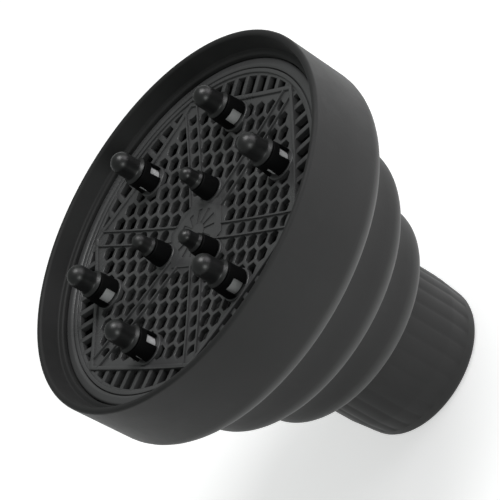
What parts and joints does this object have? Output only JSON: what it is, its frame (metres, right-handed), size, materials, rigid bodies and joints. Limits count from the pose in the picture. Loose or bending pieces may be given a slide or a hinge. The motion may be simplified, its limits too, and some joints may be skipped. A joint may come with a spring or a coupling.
{
  "type": "hair dryer diffuser",
  "caption": "Collapsible silicone bowl diffuser for a hair dryer, with a stepped bowl that folds over its neck, a honeycomb grille and capped prongs.",
  "frame": {"origin": "centre of the neck's flat end face, which the diffuser stands on", "axes": "+Z along the neck and bowl axis, out of the open bowl; +X through one large prong and one small prong"},
  "size_m": [0.16, 0.1598, 0.1403],
  "materials": {
    "silicone": "satin",
    "grille_plastic": "satin",
    "prong_plastic": "satin",
    "cap_plastic": "gloss"
  },
  "bodies": {
    "neck": {"neck_sleeve": "silicone", "lower_fold_web": "silicone"},
    "lower_ring": {"lower_ring": "silicone", "middle_fold_web": "silicone"},
    "upper_ring": {"upper_ring": "silicone", "upper_fold_web": "silicone"},
    "bowl": {"rim_band": "silicone", "trim_ring": "grille_plastic", "grille_plate": "grille_plastic", "large_prong_1_post": "prong_plastic", "large_prong_1_core": "grille_plastic", "large_prong_1_cap": "cap_plastic", "large_prong_2_post": "prong_plastic", "large_prong_2_core": "grille_plastic", "large_prong_2_cap": "cap_plastic", "large_prong_3_post": "prong_plastic", "large_prong_3_core": "grille_plastic", "large_prong_3_cap": "cap_plastic", "large_prong_4_post": "prong_plastic", "large_prong_4_core": "grille_plastic", "large_prong_4_cap": "cap_plastic", "large_prong_5_post": "prong_plastic", "large_prong_5_core": "grille_plastic", "large_prong_5_cap": "cap_plastic", "large_prong_6_post": "prong_plastic", "large_prong_6_core": "grille_plastic", "large_prong_6_cap": "cap_plastic", "small_prong_1_post": "prong_plastic", "small_prong_1_core": "grille_plastic", "small_prong_1_cap": "cap_plastic", "small_prong_2_post": "prong_plastic", "small_prong_2_core": "grille_plastic", "small_prong_2_cap": "cap_plastic", "small_prong_3_post": "prong_plastic", "small_prong_3_core": "grille_plastic", "small_prong_3_cap": "cap_plastic"}
  },
  "joints": [
    {"name": "lower_fold", "type": "slide", "parent": "neck", "child": "lower_ring", "axis": [0, 0, -1], "range_m": [0, 0.0114], "deforming": ["lower_fold_web"]},
    {"name": "middle_fold", "type": "slide", "parent": "lower_ring", "child": "upper_ring", "axis": [0, 0, -1], "range_m": [0, 0.023], "deforming": ["middle_fold_web"]},
    {"name": "upper_fold", "type": "slide", "parent": "upper_ring", "child": "bowl", "axis": [0, 0, -1], "range_m": [0, 0.029], "deforming": ["upper_fold_web"]}
  ]
}
